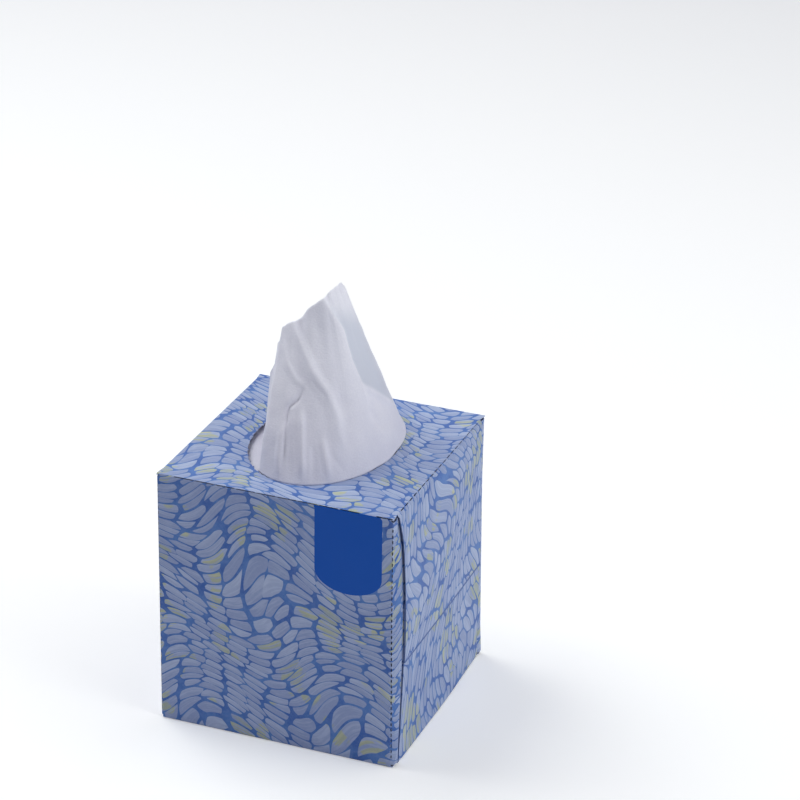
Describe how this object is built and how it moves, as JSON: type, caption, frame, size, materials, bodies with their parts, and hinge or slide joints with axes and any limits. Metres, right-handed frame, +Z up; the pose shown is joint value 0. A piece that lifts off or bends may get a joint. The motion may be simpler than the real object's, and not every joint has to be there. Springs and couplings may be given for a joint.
{
  "type": "tissue box",
  "caption": "Cube paperboard tissue box with an oval top opening and one tissue standing up out of it.",
  "frame": {"origin": "middle of the base, on the surface that the carton stands on", "axes": "+X to the right along the front panel, +Y from the front panel to the back, +Z up"},
  "size_m": [0.1162, 0.1102, 0.1979],
  "materials": {
    "carton_board": "blue printed and lightly coated paperboard, pale uncoated grey inside",
    "adhesive": "thin dried paper adhesive",
    "tissue_stack": "soft white tissue paper seen edge-on and folded",
    "tissue": "thin soft white tissue paper, matt, with fine creping",
    "tab_ink": "dark blue ink",
    "pebble_ink": "pale periwinkle ink"
  },
  "bodies": {
    "root": {"carton": "carton_board", "seam_glue": "adhesive", "flap_glue_right": "adhesive", "flap_glue_left": "adhesive", "tissue_stack": "tissue_stack", "raised_tissue": "tissue", "printed_tab": "tab_ink", "printed_pebbles": "pebble_ink"}
  },
  "joints": []
}
